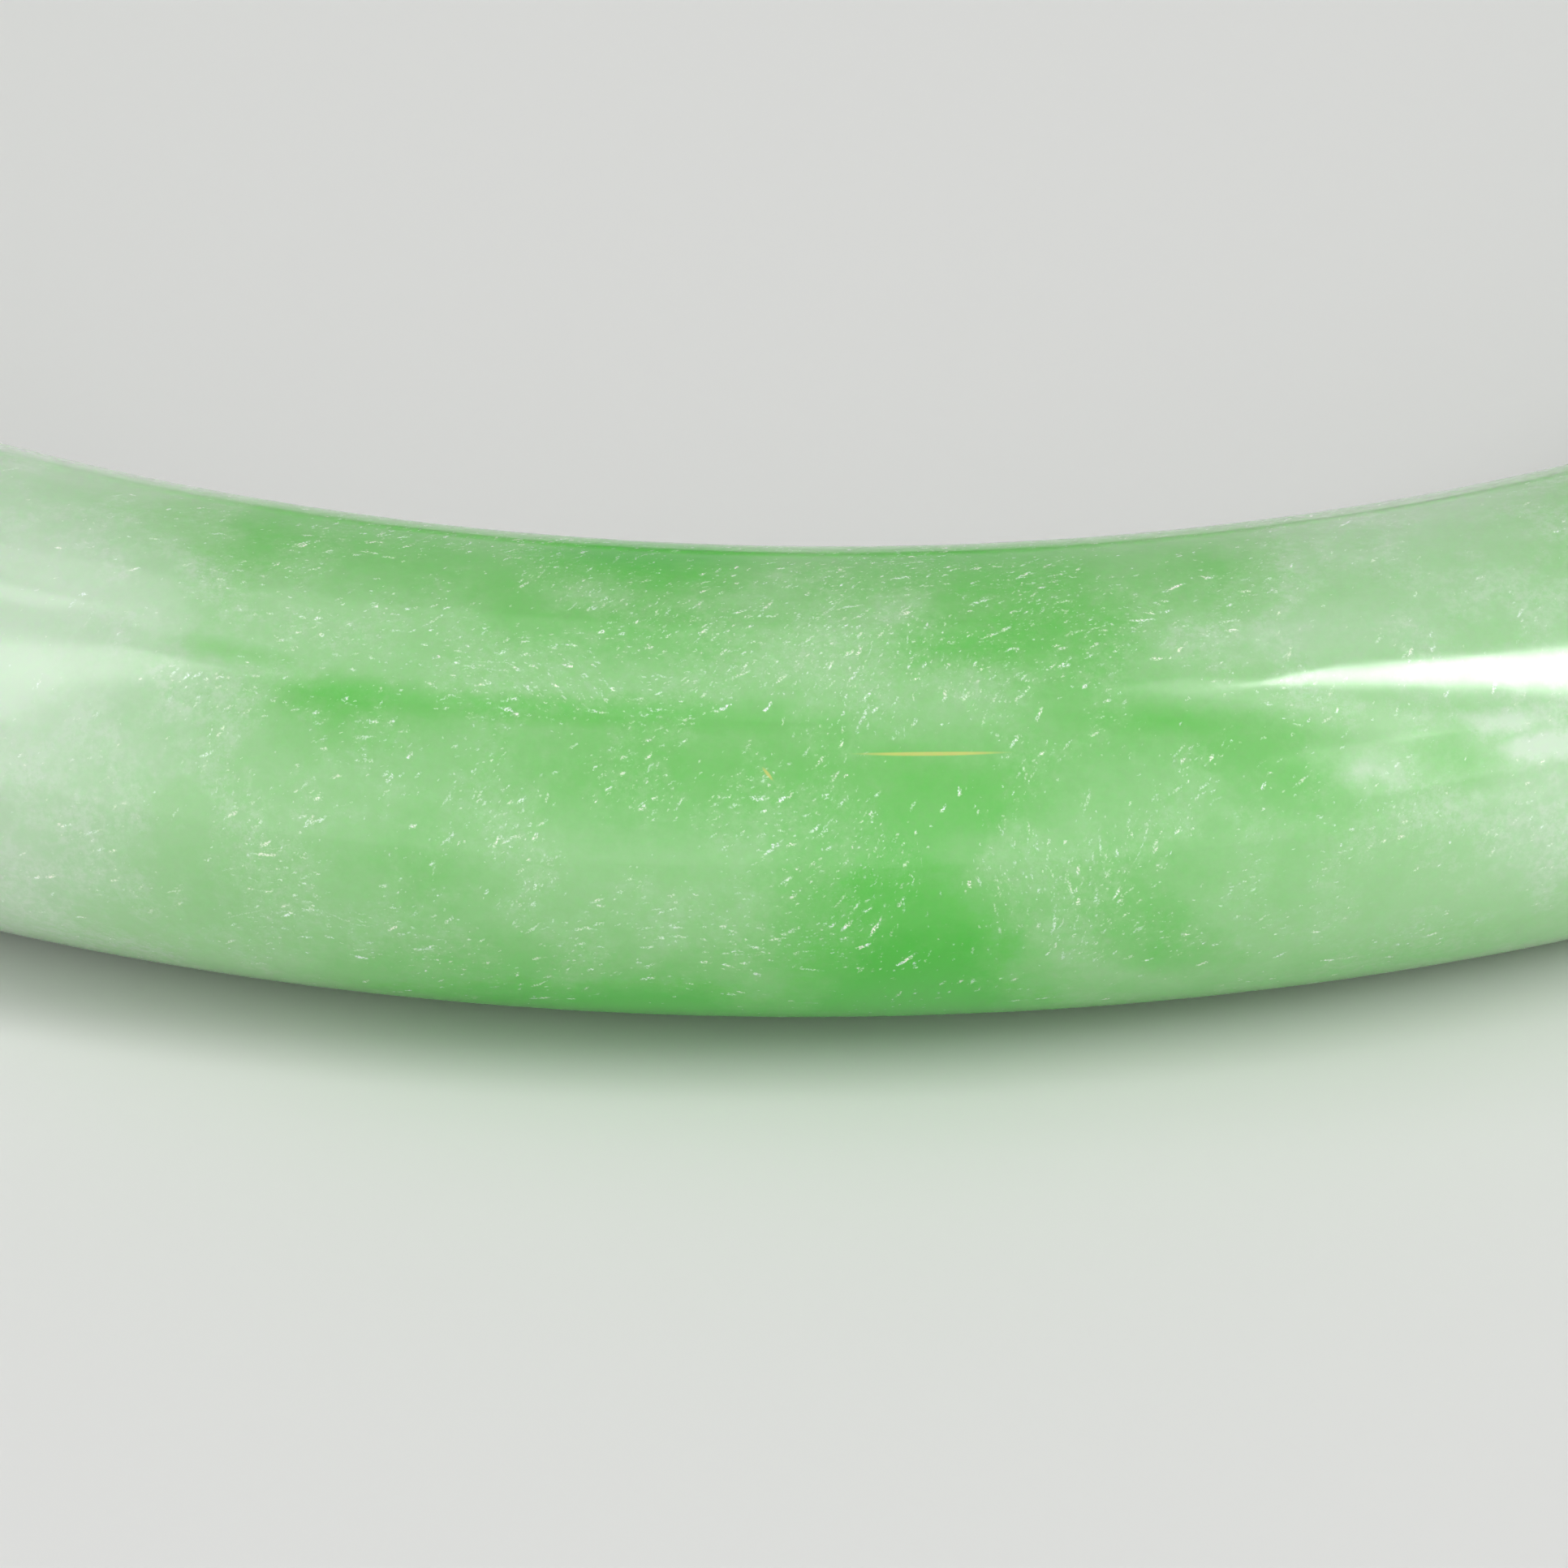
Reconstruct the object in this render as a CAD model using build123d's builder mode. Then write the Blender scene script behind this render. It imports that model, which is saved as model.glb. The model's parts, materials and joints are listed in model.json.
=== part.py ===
from build123d import *

import os

# A plain one-piece bangle of polished jadeite: a closed ring, ground from a single block.
# Millimetres. +Z is up and the ring's axis is Z. The origin is the centre of the circle
# that the ring rests on when it lies flat.

# Driving dimensions
inner_diameter = 56.0  # the hand and wrist go through this opening
bar_height = 7.2  # the bar's section, measured along the ring's axis
bar_depth = 8.1  # the bar's section, measured outward from the opening

# Derived dimensions
centreline_radius = inner_diameter / 2 + bar_depth / 2
centreline_height = bar_height / 2

os.makedirs("parts", exist_ok=True)

# The bar has an oval section with no flats or edges. It is a little deeper than it is high,
# and is turned once around the ring's axis.
with BuildPart() as bangle_ring:
    with BuildSketch(Plane.XZ):
        with Locations((centreline_radius, centreline_height)):
            Ellipse(bar_depth / 2, bar_height / 2)
    revolve(axis=Axis.Z, revolution_arc=360)

bangle_ring.part.label = "bangle_ring"
export_step(bangle_ring.part, "parts/bangle_ring.step")

outer_diameter = inner_diameter + 2 * bar_depth
print(f"outer diameter {outer_diameter:.2f} mm, volume {bangle_ring.part.volume:.1f} mm3")
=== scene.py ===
import json
from math import cos, pi, radians, sin, tan

import bpy
import numpy as np
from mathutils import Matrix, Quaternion, Vector


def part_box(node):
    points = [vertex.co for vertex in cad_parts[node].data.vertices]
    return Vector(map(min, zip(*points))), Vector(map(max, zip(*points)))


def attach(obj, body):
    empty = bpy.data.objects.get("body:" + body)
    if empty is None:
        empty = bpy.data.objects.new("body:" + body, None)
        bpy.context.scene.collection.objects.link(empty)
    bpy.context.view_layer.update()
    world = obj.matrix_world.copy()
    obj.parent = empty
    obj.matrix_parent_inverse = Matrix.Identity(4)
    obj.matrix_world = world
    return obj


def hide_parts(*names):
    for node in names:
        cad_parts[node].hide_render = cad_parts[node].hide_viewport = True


# A plain closed bangle of polished green and white jadeite, lying flat. Lengths are in metres
# unless a comment says mm, and places are in the frame's axes: the ring's axis is Z, and the
# greenest stretch of the stone is at -Y, nearest the camera.

MM = 0.001

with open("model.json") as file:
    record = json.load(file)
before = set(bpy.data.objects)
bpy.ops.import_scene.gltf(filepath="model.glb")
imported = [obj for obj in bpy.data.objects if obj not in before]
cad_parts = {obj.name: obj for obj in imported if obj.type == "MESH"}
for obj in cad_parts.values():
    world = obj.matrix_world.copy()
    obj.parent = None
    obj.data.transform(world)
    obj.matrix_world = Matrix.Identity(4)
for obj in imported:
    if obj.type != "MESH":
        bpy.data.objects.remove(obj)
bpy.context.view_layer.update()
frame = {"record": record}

# ---------------------------------------------------------------- the ring's own measures
ring_low, ring_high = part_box("bangle_ring")
OUTER_RADIUS = (ring_high.x - ring_low.x) / 2
BAR_HEIGHT = ring_high.z - ring_low.z
OPENING = frame["record"]["mounts"][0]["dims"]["r_mm"] * MM
BAR_DEPTH = OUTER_RADIUS - OPENING
CENTRELINE = OPENING + BAR_DEPTH / 2
GRINDING = 0.012  # how much of itself the hand-ground bar is thicker or thinner, three times round


# ---------------------------------------------------------------- mesh
STEPS_ALONG = 630  # quads round the ring
STEPS_ROUND = 112  # quads round the bar
ATLAS = 3  # the bake's map is a square of this many strips of the ring each way
ATLAS_EDGE = 0.004


def bar_arc(angles):
    """Length round the bar from its outermost line to each angle of the section, in mm."""
    fine = np.linspace(-pi, pi, 7201)
    speed = np.hypot(BAR_DEPTH / 2 * np.sin(fine), BAR_HEIGHT / 2 * np.cos(fine))
    length = np.concatenate([[0], np.cumsum((speed[1:] + speed[:-1]) / 2 * np.diff(fine))])
    return (np.interp(angles, fine, length) - np.interp(0, fine, length)) / MM


def ring_mesh(name):
    """The ring as a grid of quads, with two UV maps.

    "stone" holds mm along the ring and round the bar, from the middle of the front, outermost line.
    "OFBake" lays the skin out as a square of equal strips, for the exporter's bake.
    """
    along = np.linspace(-pi, pi, STEPS_ALONG + 1)
    round_ = np.linspace(-pi, pi, STEPS_ROUND + 1)
    turn, tilt = np.meshgrid(along[:-1], round_[:-1], indexing="ij")
    thick = 1 - GRINDING * np.sin(3 * turn)
    radius = CENTRELINE + thick * BAR_DEPTH / 2 * np.cos(tilt)
    height = thick * BAR_HEIGHT / 2 * (1 + np.sin(tilt))
    points = np.stack([radius * np.sin(turn), -radius * np.cos(turn), height], -1).reshape(-1, 3)

    i, j = np.meshgrid(np.arange(STEPS_ALONG), np.arange(STEPS_ROUND), indexing="ij")
    i, j = i.ravel(), j.ravel()
    corners = [(i, j), (i + 1, j), (i + 1, j + 1), (i, j + 1)]
    faces = [(a % STEPS_ALONG) * STEPS_ROUND + b % STEPS_ROUND for a, b in corners]
    mesh = bpy.data.meshes.new(name)
    mesh.from_pydata(points.tolist(), [], np.stack(faces, -1).tolist())
    mesh.polygons.foreach_set("use_smooth", np.ones(len(mesh.polygons), bool))

    arc = bar_arc(round_)
    stone = [np.stack([along[a] * OUTER_RADIUS / MM, arc[b]], -1) for a, b in corners]
    layer = mesh.uv_layers.new(name="stone")
    layer.data.foreach_set("uv", np.stack(stone, 1).astype(np.float32).ravel())

    strip = STEPS_ALONG // ATLAS**2
    inside = 1 - 2 * ATLAS_EDGE * ATLAS
    bake = []
    for a, b in corners:
        cell = i // strip
        across = ATLAS_EDGE * ATLAS + inside * (a - cell * strip) / strip
        up = ATLAS_EDGE * ATLAS + inside * b / STEPS_ROUND
        bake.append(np.stack([(cell % ATLAS + across) / ATLAS, (cell // ATLAS + up) / ATLAS], -1))
    layer = mesh.uv_layers.new(name="OFBake")
    layer.data.foreach_set("uv", np.stack(bake, 1).astype(np.float32).ravel())
    mesh.uv_layers["stone"].active_render = True
    mesh.validate()
    return mesh


# ---------------------------------------------------------------- material graphs
class Graph:
    """Adds nodes to a material. Each method returns the new node's output."""

    def __init__(self, name):
        self.material = bpy.data.materials.new(name)
        self.material.use_nodes = True
        self.tree = self.material.node_tree
        self.shader = self.tree.nodes["Principled BSDF"]

    def node(self, kind, inputs, **settings):
        made = self.tree.nodes.new("ShaderNode" + kind)
        for key, value in settings.items():
            setattr(made, key, value)
        for key, value in inputs.items():
            self.put(made.inputs[key], value)
        return made

    def put(self, socket, value):
        if isinstance(value, bpy.types.NodeSocket):
            self.tree.links.new(value, socket)
        elif value is not None:
            socket.default_value = value

    def math(self, operation, a, b=None, c=None, clamp=False):
        made = self.node("Math", {0: a, 1: b, 2: c}, operation=operation, use_clamp=clamp)
        return made.outputs[0]

    def vector(self, operation, a, b=None, c=None):
        made = self.node("VectorMath", {0: a, 1: b, 2: c}, operation=operation)
        return made.outputs["Value" if operation == "LENGTH" else "Vector"]

    def scaled(self, vector, factor):
        return self.vector("MULTIPLY", vector, (factor, factor, factor))

    def join(self, x, y, z=0.0):
        return self.node("CombineXYZ", {0: x, 1: y, 2: z}).outputs[0]

    def ramp(self, value, low, high, to_low=0.0, to_high=1.0):
        """A smooth step from to_low, where the value is low, to to_high, where it is high."""
        inputs = {"Value": value, "From Min": low, "From Max": high}
        inputs.update({"To Min": to_low, "To Max": to_high})
        return self.node("MapRange", inputs, interpolation_type="SMOOTHSTEP").outputs["Result"]

    def noise(self, vector, scale, detail=2.0, rough=0.5, w=None):
        inputs = {"Vector": vector, "Scale": scale, "Detail": detail, "Roughness": rough}
        if w is not None:
            inputs["W"] = w
        return self.node("TexNoise", inputs, noise_dimensions="3D" if w is None else "4D")

    def mix(self, factor, a, b):
        made = self.node("Mix", {"Factor": factor}, data_type="RGBA")
        self.put(made.inputs[6], a)
        self.put(made.inputs[7], b)
        return made.outputs[2]

    def patches(self, place, spots):
        """The sum of soft oval spots, each laid out as the lists of the stone are."""
        total = None
        for along, round_, length, height, tilt, strength in spots:
            inputs = {
                "Vector": place,
                "Location": (along, round_, 0),
                "Rotation": (0, 0, radians(tilt)),
                "Scale": (length, height, 1),
            }
            local = self.node("Mapping", inputs, vector_type="TEXTURE").outputs[0]
            spot = self.node("TexGradient", {"Vector": local}, gradient_type="SPHERICAL")
            so_far = 0.0 if total is None else total
            total = self.math("MULTIPLY_ADD", spot.outputs["Fac"], strength, so_far)
        return total


# ---------------------------------------------------------------- jadeite
# Places on the stone are in mm: along the ring, to the right of the front, and round the bar, up
# from its outermost line. Each spot is (along, round, half length, half height, tilt, strength).
# Deep green patches of the stone. The long spot at (0.0, -3.8) along the lower rim is painted
# shade: a deeper green for the shaded underside.
DEEP_GREEN_AND_UNDERSIDE_SHADE = [
    (-2.9, 7.5, 2.8, 2.1, 0, 0.95),
    (-8.0, 7.4, 4.4, 2.6, 0, 0.36),
    (-9.9, 6.4, 1.0, 3.0, 0, 0.16),
    (2.6, 7.4, 4.4, 1.9, 0, 0.42),
    (-7.4, 2.9, 1.8, 0.9, 0, 0.20),
    (-2.9, 4.9, 2.6, 0.9, 0, 0.20),
    (-5.0, 5.6, 1.2, 1.5, 0, 0.14),
    (3.9, 5.3, 2.6, 1.8, 0, 0.26),
    (2.4, 4.6, 2.6, 0.7, 0, 0.20),
    (4.8, 4.0, 1.6, 1.6, 0, 0.15),
    (7.2, 6.2, 1.6, 1.6, 0, 0.20),
    (-2.4, 2.4, 3.6, 1.3, 0, 0.16),
    (1.6, 2.3, 3.6, 1.0, 0, 0.16),
    (3.0, 1.8, 1.2, 0.8, 30, 0.16),
    (6.6, 2.7, 1.6, 0.7, -10, 0.14),
    (7.8, 2.0, 1.8, 1.1, -25, 0.24),
    (10.4, 1.8, 1.1, 0.6, 0, 0.22),
    (-6.1, 0.6, 1.4, 1.3, 0, 0.12),
    (6.6, 1.2, 3.4, 1.2, 0, 0.08),
    (-4.8, -2.3, 3.8, 2.2, 0, 0.46),
    (-2.0, -2.4, 1.9, 1.7, 0, 0.46),
    (-0.6, -0.8, 1.6, 1.0, 0, 0.18),
    (1.8, -2.2, 2.8, 2.2, 0, 0.55),
    (1.3, -0.8, 2.2, 2.0, 20, 0.40),
    (2.4, -0.6, 1.5, 2.0, -15, 0.28),
    (0.8, 0.7, 1.8, 1.5, 0, 0.32),
    (1.9, 1.4, 1.6, 1.0, 40, 0.18),
    (5.8, -0.9, 1.7, 1.0, -30, 0.28),
    (4.9, 0.2, 1.6, 1.4, 0, 0.14),
    # painted shade: a deeper, more saturated green along the lower rim of the green stretch, where
    # only light through the stone reaches the underside
    (0.0, -3.8, 10.0, 2.6, 0, 0.62),
    (-11.8, -1.6, 4.0, 3.2, 0, 0.10),
    (9.4, -2.8, 4.2, 1.9, 0, 0.26),
    (-11.5, 6.8, 3.6, 2.4, 0, 0.18),
]
# Painted shade: thin darker green lines along the lower edge of the reflected overhead strip, and
# one beside the tip of the right window's reflection.
REFLECTION_EDGE_SHADE = [
    (-9.5, 3.72, 1.6, 0.24, -3, 0.18),
    (-8.0, 3.20, 1.5, 0.42, 3, 0.20),
    (-5.4, 3.32, 3.6, 0.34, 0, 0.24),
    (-2.2, 3.36, 3.6, 0.36, -1, 0.17),
    (5.8, 3.05, 1.9, 0.30, -4, 0.16),
]
# Pale clouds of the stone. The last three thin streaks on the right are painted highlight, the
# streaky lower reflection band of the right sill lamps.
WHITE_CLOUD_AND_HIGHLIGHT = [
    (-3.8, 5.9, 1.2, 1.0, 0, 0.08),
    (-7.0, 4.9, 3.6, 1.1, 0, 0.05),
    (0.7, 4.5, 2.2, 1.1, 10, 0.14),
    (2.6, 3.6, 2.0, 1.0, 20, 0.13),
    (1.7, 5.5, 1.2, 0.7, 20, 0.11),
    (-6.6, 1.9, 4.6, 1.3, 0, 0.06),
    (-4.2, 0.8, 2.6, 1.1, 0, 0.05),
    (-2.3, 0.3, 2.0, 1.1, 0, 0.06),
    (12.0, 5.0, 5.0, 3.5, 0, 0.08),
    (7.2, 4.3, 4.0, 1.0, 0, 0.12),
    (-13.5, 2.0, 4.5, 4.5, 0, 0.12),
    # painted highlight: thin pale streaks in the reflection band of the right sill lamps
    (9.0, 1.9, 0.8, 0.40, -10, 0.22),
    (11.4, 2.4, 0.9, 0.28, -8, 0.26),
    (12.0, 1.8, 1.0, 0.35, -5, 0.26),
]
# Each fleck layer is (cell, half length, half width, share of cells with a fleck, brightness). The
# first three are in mm.
# The flecks are partly white crystals of the stone and partly painted glints.
FLECKS = [
    (1.50, 0.48, 0.011, 0.80, 0.50),
    (0.72, 0.20, 0.028, 0.90, 1.00),
    (0.42, 0.115, 0.028, 1.00, 1.00),
    (0.27, 0.070, 0.025, 1.00, 1.00),
    (0.19, 0.040, 0.018, 1.00, 0.75),
    (0.115, 0.025, 0.014, 1.00, 0.50),
]
# Where the flecks are thickest; the strength is added to the noise that gathers them.
FLECK_DRIFTS = [
    (-1.6, 4.8, 4.2, 2.2, 0, 0.14),
    (3.4, 5.2, 3.0, 2.0, 0, 0.16),
    (4.6, 0.8, 2.0, 2.4, 0, 0.10),
    (-0.6, 1.0, 2.4, 1.6, 0, 0.05),
]
# Where the flecks turn away from their general lie, in degrees.
FLECK_TURNS = [
    (3.3, 0.6, 3.6, 3.2, 0, 95),
    (0.2, 3.4, 3.0, 2.0, 0, 60),
    (-3.7, 3.6, 1.8, 1.6, 0, -75),
    (-6.0, -0.4, 4.0, 1.6, 0, -20),
]
NEEDLES = [
    (2.0, 2.72, 1.40, 0.040, -1, 1.0),
    (-0.62, 2.42, 0.16, 0.035, -50, 0.8),
]

# Colours of the stone by its tone, which runs from 0, deep green, to 1, pale mint.
JADE = [
    (0.00, (0.070, 0.485, 0.042)),
    (0.25, (0.130, 0.515, 0.092)),
    (0.50, (0.225, 0.545, 0.180)),
    (0.75, (0.350, 0.600, 0.310)),
    (1.00, (0.560, 0.690, 0.545)),
]
GREEN_TONE = 0.60  # of the green stretch, before its patches and clouds
PALE_TONES = (0.60, 0.93)  # of the rest of the ring
GREEN_STARTS = (-13.5, -5.5)  # mm along the ring, over which the green stretch fades in
GREEN_ENDS = (12.5, 4.5)
WANDER = 26.0  # mm that those two ends stray where the bar turns under and inside
PUSH = (1.9, 1.1, 0.0)  # mm that the patches are pushed about, to soften and tear their edges
STREAK_PUSH = (0.8, 0.3, 0.0)
FLECK_PUSH = (0.11, 0.11, 0.0)
GRAIN_STRETCH = 0.35  # the clouds of the stone are this much drawn out level
FLECK_LIE = 5.0  # degrees from the ring's run
FLECK_SWING = 3.0  # radians between one drift of flecks and another
FLECK_BEND = 50.0  # degrees at most between one fleck and its drift
# Colours of the flecks, which are partly painted glints
COOL_FLECK_AND_GLINT = (0.88, 0.95, 0.93, 1)
WARM_FLECK_AND_GLINT = (0.96, 0.95, 0.86, 1)
OCHRE = (0.66, 0.61, 0.20, 1)
JADEITE_IOR = 1.66
SCATTER_RADIUS = (0.8, 1.6, 0.7)  # red, green and blue, times the depth
SCATTER_DEPTH = 3.0 * MM


def fleck_layer(g, place, lie, crowd, cell, length, width, share, bright):
    """Fine bright strokes, one at most in each cell, that follow the lie: white crystals, partly
    painted glints.
    """
    scaled = g.scaled(place, 1 / cell)
    inputs = {"Vector": scaled, "Scale": 1.0, "Randomness": 0.85}
    cells = g.node("TexVoronoi", inputs, voronoi_dimensions="2D")
    own = g.node("SeparateColor", {0: cells.outputs["Color"]})
    draw, size, bend = own.outputs[0], own.outputs[1], own.outputs[2]
    away = g.vector("SUBTRACT", scaled, cells.outputs["Position"])
    angle = g.math("MULTIPLY_ADD", bend, radians(FLECK_BEND), lie)
    inputs = {"Vector": away, "Angle": angle}
    turned = g.node("VectorRotate", inputs, rotation_type="Z_AXIS", invert=True).outputs[0]
    away = g.vector("MULTIPLY", turned, (cell / length, cell / width, 0))
    grown = g.math("MULTIPLY_ADD", size, 1.1, 0.35)
    reach = g.math("DIVIDE", g.vector("LENGTH", away), grown)
    stroke = g.ramp(reach, 1.0, 0.35)
    present = g.math("LESS_THAN", draw, g.math("MULTIPLY", crowd, share))
    strength = g.math("MULTIPLY_ADD", g.math("POWER", size, 3.0), 0.75, 0.25)
    strength = g.math("MULTIPLY", strength, bright)
    return g.math("MULTIPLY", g.math("MULTIPLY", stroke, present), strength)


def jadeite():
    g = Graph("jadeite")
    stone = g.node("UVMap", {}, uv_map="stone").outputs[0]
    solid = g.scaled(g.node("TexCoord", {}).outputs["Object"], 1 / MM)
    parts = g.node("SeparateXYZ", {0: solid})
    radius = g.vector("LENGTH", g.join(parts.outputs[0], parts.outputs[1]))
    drawn_out = [g.math("MULTIPLY", parts.outputs[axis], GRAIN_STRETCH) for axis in (0, 1)]
    grain = g.join(*drawn_out, parts.outputs[2])

    # soft edges: everything painted on the stone is pushed about a little
    push = g.noise(solid, 0.7, detail=6.0, rough=0.72).outputs["Color"]
    push = g.vector("SUBTRACT", push, (0.5, 0.5, 0.5))
    place = g.vector("MULTIPLY_ADD", push, PUSH, stone)
    streak_place = g.vector("MULTIPLY_ADD", push, STREAK_PUSH, stone)

    # the green stretch, whose ends wander where the bar turns under and inside
    along, round_ = g.node("SeparateXYZ", {0: place}).outputs[:2]
    turned = g.ramp(g.math("ABSOLUTE", g.math("SUBTRACT", round_, 2.0)), 4.5, 8.0)
    wander = g.math("SUBTRACT", g.noise(solid, 0.16, detail=3.0).outputs["Fac"], 0.5)
    wander = g.math("MULTIPLY", g.math("MULTIPLY", wander, turned), WANDER)
    along = g.math("ADD", along, wander)
    zone = g.math("MULTIPLY", g.ramp(along, *GREEN_STARTS), g.ramp(along, *GREEN_ENDS))

    # tone: clouded, then with the patches and streaks, which carry painted shade and painted
    # highlight
    cloud = g.noise(grain, 0.10, detail=2.0, w=radius).outputs["Fac"]
    pale = g.ramp(cloud, 0.30, 0.55, *PALE_TONES)
    inputs = {"Factor": zone, "A": pale, "B": GREEN_TONE}
    tone = g.node("Mix", inputs, data_type="FLOAT").outputs[0]
    mottle = g.noise(grain, 0.55, detail=5.0, rough=0.65, w=radius).outputs["Fac"]
    cotton = g.noise(solid, 2.2, detail=6.0, rough=0.75).outputs["Fac"]
    uneven = g.math("SUBTRACT", g.math("ADD", mottle, cotton), 1.0)
    uneven = g.math("MULTIPLY", uneven, g.math("MULTIPLY_ADD", zone, 0.08, 0.12))
    tone = g.math("ADD", tone, uneven)
    # deep green patches, and painted shade along the lower rim
    tone = g.math("SUBTRACT", tone, g.patches(place, DEEP_GREEN_AND_UNDERSIDE_SHADE))
    # painted shade: darker green lines along the edges of reflections
    tone = g.math("SUBTRACT", tone, g.patches(streak_place, REFLECTION_EDGE_SHADE))
    # pale clouds, and painted highlight streaks on the right
    tone = g.math("ADD", tone, g.patches(place, WHITE_CLOUD_AND_HIGHLIGHT))

    # crowd: how thick the flecks are, with a fine frost of crystals between them
    groups = g.noise(solid, 0.75, detail=4.0, rough=0.65).outputs["Fac"]
    groups = g.math("ADD", groups, g.patches(stone, FLECK_DRIFTS))
    crowd = g.ramp(groups, 0.40, 0.61, 0.04, 1.0)
    frost = g.noise(solid, 6.5, detail=4.0, rough=0.75).outputs["Fac"]
    frost = g.ramp(frost, 0.36, 0.68, 0.02, 0.13)
    tone = g.math("MULTIPLY_ADD", crowd, frost, tone, clamp=True)

    ramp = g.node("ValToRGB", {0: tone})
    stops = ramp.color_ramp.elements
    while len(stops) < len(JADE):
        stops.new(0.5)
    for stop, (position, colour) in zip(stops, JADE):
        stop.position = position
        stop.color = (*colour, 1)
    colour = ramp.outputs[0]

    # flecks: drifts of small white crystals, partly painted glints where their faces catch the
    # light; as painted light they are also fewest on the lower rim and the inside, where less light
    # falls
    jitter = g.noise(solid, 12.0, detail=3.0, rough=0.7).outputs["Color"]
    jitter = g.vector("SUBTRACT", jitter, (0.5, 0.5, 0.5))
    fleck_place = g.vector("MULTIPLY_ADD", jitter, FLECK_PUSH, stone)
    swing = g.noise(solid, 0.35, detail=2.0).outputs["Fac"]
    lie = g.math("MULTIPLY_ADD", g.math("SUBTRACT", swing, 0.5), FLECK_SWING, radians(FLECK_LIE))
    lie = g.math("ADD", lie, g.math("RADIANS", g.patches(stone, FLECK_TURNS)))
    crowd = g.math("MULTIPLY", crowd, g.math("MULTIPLY_ADD", zone, 0.75, 0.25))
    # painted light: fewer glinting flecks away from the lit upper front, on the lower rim and the
    # inside
    from_top = g.math("ABSOLUTE", g.math("SUBTRACT", round_, 5.0))
    crowd = g.math("MULTIPLY", crowd, g.ramp(from_top, 7.6, 5.0, 0.15, 1.0))
    flecks_and_glints = None
    for layer in FLECKS:
        made = fleck_layer(g, fleck_place, lie, crowd, *layer)
        flecks_and_glints = made if flecks_and_glints is None else g.math("MAXIMUM", flecks_and_glints, made)
    ragged = g.noise(solid, 30.0, detail=2.0).outputs["Fac"]
    flecks_and_glints = g.math("MULTIPLY", flecks_and_glints, g.ramp(ragged, 0.42, 0.60, 0.10, 1.0))
    warm = g.ramp(g.noise(solid, 5.0, detail=0.0).outputs["Fac"], 0.35, 0.65)
    colour = g.mix(flecks_and_glints, colour, g.mix(warm, COOL_FLECK_AND_GLINT, WARM_FLECK_AND_GLINT))

    # ochre needles grown into the stone
    needles = g.ramp(g.patches(stone, NEEDLES), 0.0, 0.5)
    colour = g.mix(g.math("MULTIPLY", needles, 0.8), colour, OCHRE)

    g.put(g.shader.inputs["Base Color"], colour)
    rough = g.ramp(g.noise(solid, 0.8, detail=3.0).outputs["Fac"], 0.3, 0.7, 0.07, 0.13)
    g.put(g.shader.inputs["Roughness"], rough)
    relief = g.noise(solid, 0.9, detail=3.0, rough=0.5).outputs["Fac"]
    bump = g.node("Bump", {"Height": relief, "Strength": 0.10, "Distance": 0.05 * MM})
    g.put(g.shader.inputs["Normal"], bump.outputs[0])
    g.shader.inputs["IOR"].default_value = JADEITE_IOR
    g.shader.inputs["Subsurface Weight"].default_value = 1.0
    g.shader.inputs["Subsurface Radius"].default_value = SCATTER_RADIUS
    g.shader.inputs["Subsurface Scale"].default_value = SCATTER_DEPTH
    return g.material


def floor_material():
    g = Graph("pale_floor")
    g.shader.inputs["Base Color"].default_value = (0.74, 0.74, 0.73, 1)
    g.shader.inputs["Roughness"].default_value = 0.6
    g.shader.inputs["Specular IOR Level"].default_value = 0.2
    return g.material


# ---------------------------------------------------------------- the piece
def add(name, mesh, material):
    piece = bpy.data.objects.new(name, mesh)
    bpy.context.scene.collection.objects.link(piece)
    mesh.materials.append(material)
    return piece


ring = add("jade_ring", ring_mesh("jade_ring"), jadeite())
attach(ring, "root")
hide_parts("bangle_ring")


# ---------------------------------------------------------------- floor, light and camera
FLOOR_SIDE = 8.0
half = FLOOR_SIDE / 2
floor_corners = [(-half, -half, 0), (half, -half, 0), (half, half, 0), (-half, half, 0)]
floor_mesh = bpy.data.meshes.new("floor")
floor_mesh.from_pydata(floor_corners, [], [(0, 1, 2, 3)])
add("floor", floor_mesh, floor_material())

HORIZON_LIGHT = 1.16
ZENITH_LIGHT = 0.2
BACK_SHARE = 0.5  # of the light that comes from in front


def studio_world():
    """Soft light from all sides, brightest near the horizon and on the camera's side."""
    world = bpy.data.worlds.new("studio")
    world.use_nodes = True
    tree = world.node_tree
    heading = tree.nodes.new("ShaderNodeTexCoord").outputs["Generated"]
    parts = tree.nodes.new("ShaderNodeSeparateXYZ")
    tree.links.new(heading, parts.inputs[0])
    strength = 1.0
    for part, low, high in (("Z", HORIZON_LIGHT, ZENITH_LIGHT), ("Y", 1.0, BACK_SHARE)):
        fade = tree.nodes.new("ShaderNodeMapRange")
        fade.interpolation_type = "SMOOTHSTEP"
        fade.inputs["To Min"].default_value = low
        fade.inputs["To Max"].default_value = high
        tree.links.new(parts.outputs[part], fade.inputs["Value"])
        product = tree.nodes.new("ShaderNodeMath")
        product.operation = "MULTIPLY"
        tree.links.new(fade.outputs[0], product.inputs[0])
        if isinstance(strength, float):
            product.inputs[1].default_value = strength
        else:
            tree.links.new(strength, product.inputs[1])
        strength = product.outputs[0]
    tree.links.new(strength, tree.nodes["Background"].inputs["Strength"])
    tree.nodes["Background"].inputs["Color"].default_value = (1, 1, 1, 1)
    return world


bpy.context.scene.world = studio_world()


def direction(azimuth, elevation):
    """Unit vector: azimuth 0 is towards the camera, and positive is to its right, in degrees."""
    a, e = radians(azimuth), radians(elevation)
    return Vector((sin(a) * cos(e), -cos(a) * cos(e), sin(e)))


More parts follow.
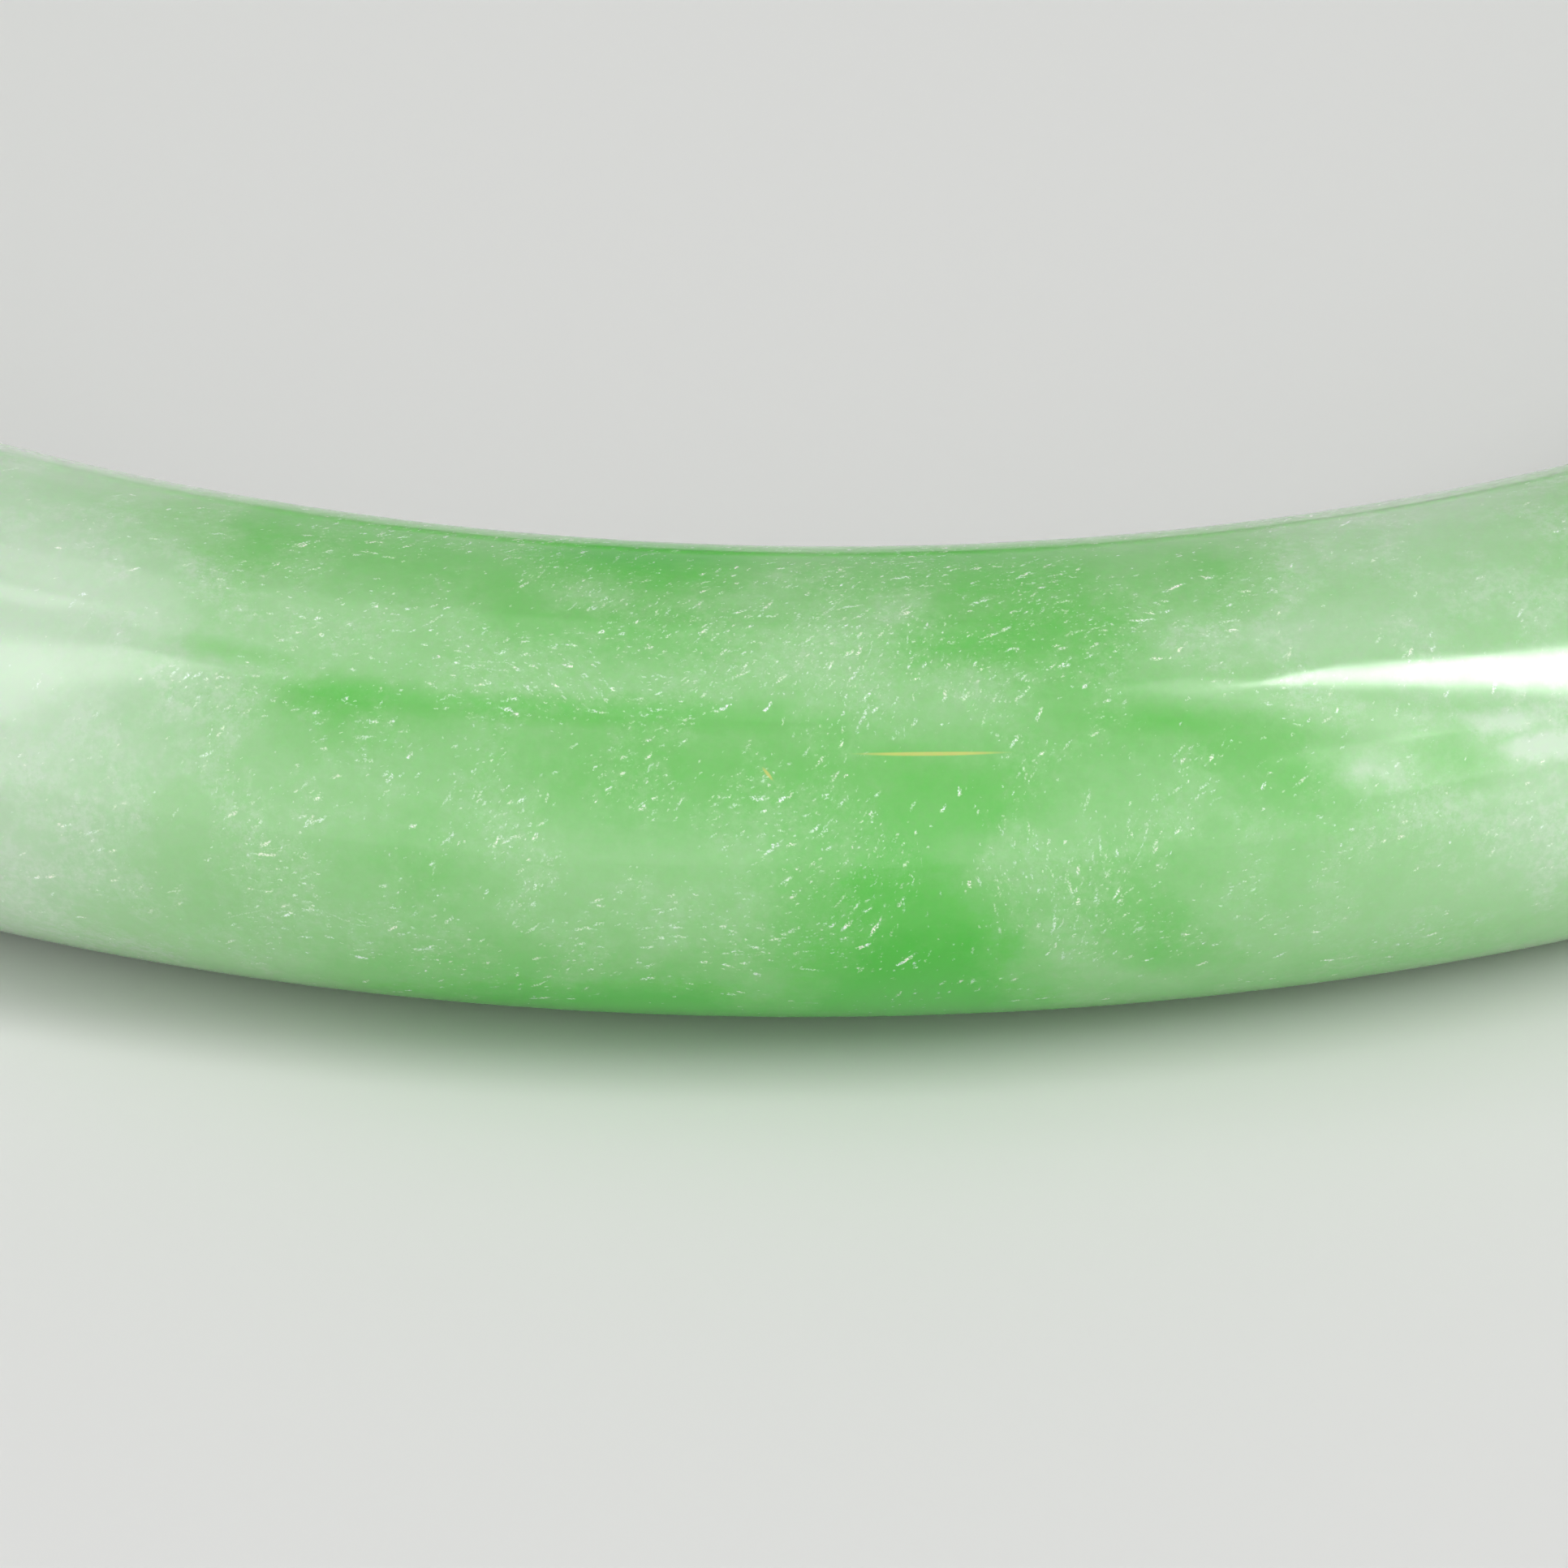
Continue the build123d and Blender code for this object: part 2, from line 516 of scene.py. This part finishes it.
FRONT = Vector((0, -CENTRELINE, BAR_HEIGHT / 2))


def lamp(name, place, facing, width, length, radiance, lean=0.0):
    """A rectangular lamp of even brightness that the camera doesn't see, except as a reflection."""
    data = bpy.data.lights.new(name, "AREA")
    data.shape = "RECTANGLE"
    data.size = width
    data.size_y = length
    data.energy = radiance * pi * width * length
    made = bpy.data.objects.new(name, data)
    made.location = place
    made.rotation_mode = "QUATERNION"
    upright = facing.to_track_quat("-Z", "Y")
    made.rotation_quaternion = upright @ Quaternion((0, 0, 1), -radians(lean))
    made.visible_camera = False
    bpy.context.scene.collection.objects.link(made)


STAND = 0.40  # how far the upright softboxes stand from the front of the ring


def softbox(name, azimuth, half_width, low, high, radiance, lean=0.0):
    """An upright softbox, as the angles that it fills when seen from the front of the ring.

    Its top leans by some degrees towards greater azimuths.
    """
    bottom, top = STAND * tan(radians(low)), STAND * tan(radians(high))
    place = FRONT + direction(azimuth, 0) * STAND
    place.z = (bottom + top) / 2
    width = 2 * STAND * tan(radians(half_width))
    lamp(name, place, -direction(azimuth, 0), width, top - bottom, radiance, lean)


softbox("right_window", 66.5, 8, 31, 75, 12.0, lean=6)
softbox("right_window_top", 72, 9, 75, 80, 1.4, lean=7)
softbox("right_pane", 51, 2.5, 42, 77, 1.5, lean=7)
for inset in (0, 3, 6):
    softbox(f"right_sill_{inset}", 38, 8 - inset, 18 + inset, 44 - inset, 1.0)
    softbox(f"left_wall_{inset}", -78, 25 - 2 * inset, 12 + 2 * inset, 66 - inset, 0.5)
softbox("left_window", -62, 7, 30, 71, 2.0, lean=-9.5)
softbox("left_rear", -120, 10, 60, 70, 1.6)

CEILING = 1.0
lamp("ceiling", FRONT + Vector((-0.12, 0.19, CEILING)), Vector((0, 0, -1)), 0.36, 0.92, 0.5)

CAMERA_RISE = 33.0
CAMERA_DISTANCE = 0.2246
SENSOR = 36.0
FRAME_WIDTH = 24.87 * MM  # what the picture spans at the bar's distance
camera_data = bpy.data.cameras.new("camera")
camera_data.sensor_width = SENSOR
camera_data.lens = SENSOR * CAMERA_DISTANCE / FRAME_WIDTH
camera_data.clip_start = 0.01
camera_data.clip_end = 20
camera = bpy.data.objects.new("camera", camera_data)
bpy.context.scene.collection.objects.link(camera)
aim = FRONT + Vector((-0.35 * MM, 0, -0.05 * MM))
camera.location = aim + direction(0, CAMERA_RISE) * CAMERA_DISTANCE
camera.rotation_mode = "QUATERNION"
camera.rotation_quaternion = (-direction(0, CAMERA_RISE)).to_track_quat("-Z", "Y")
bpy.context.scene.camera = camera

bpy.context.scene.view_settings.view_transform = "Standard"

bpy.context.view_layer.update()
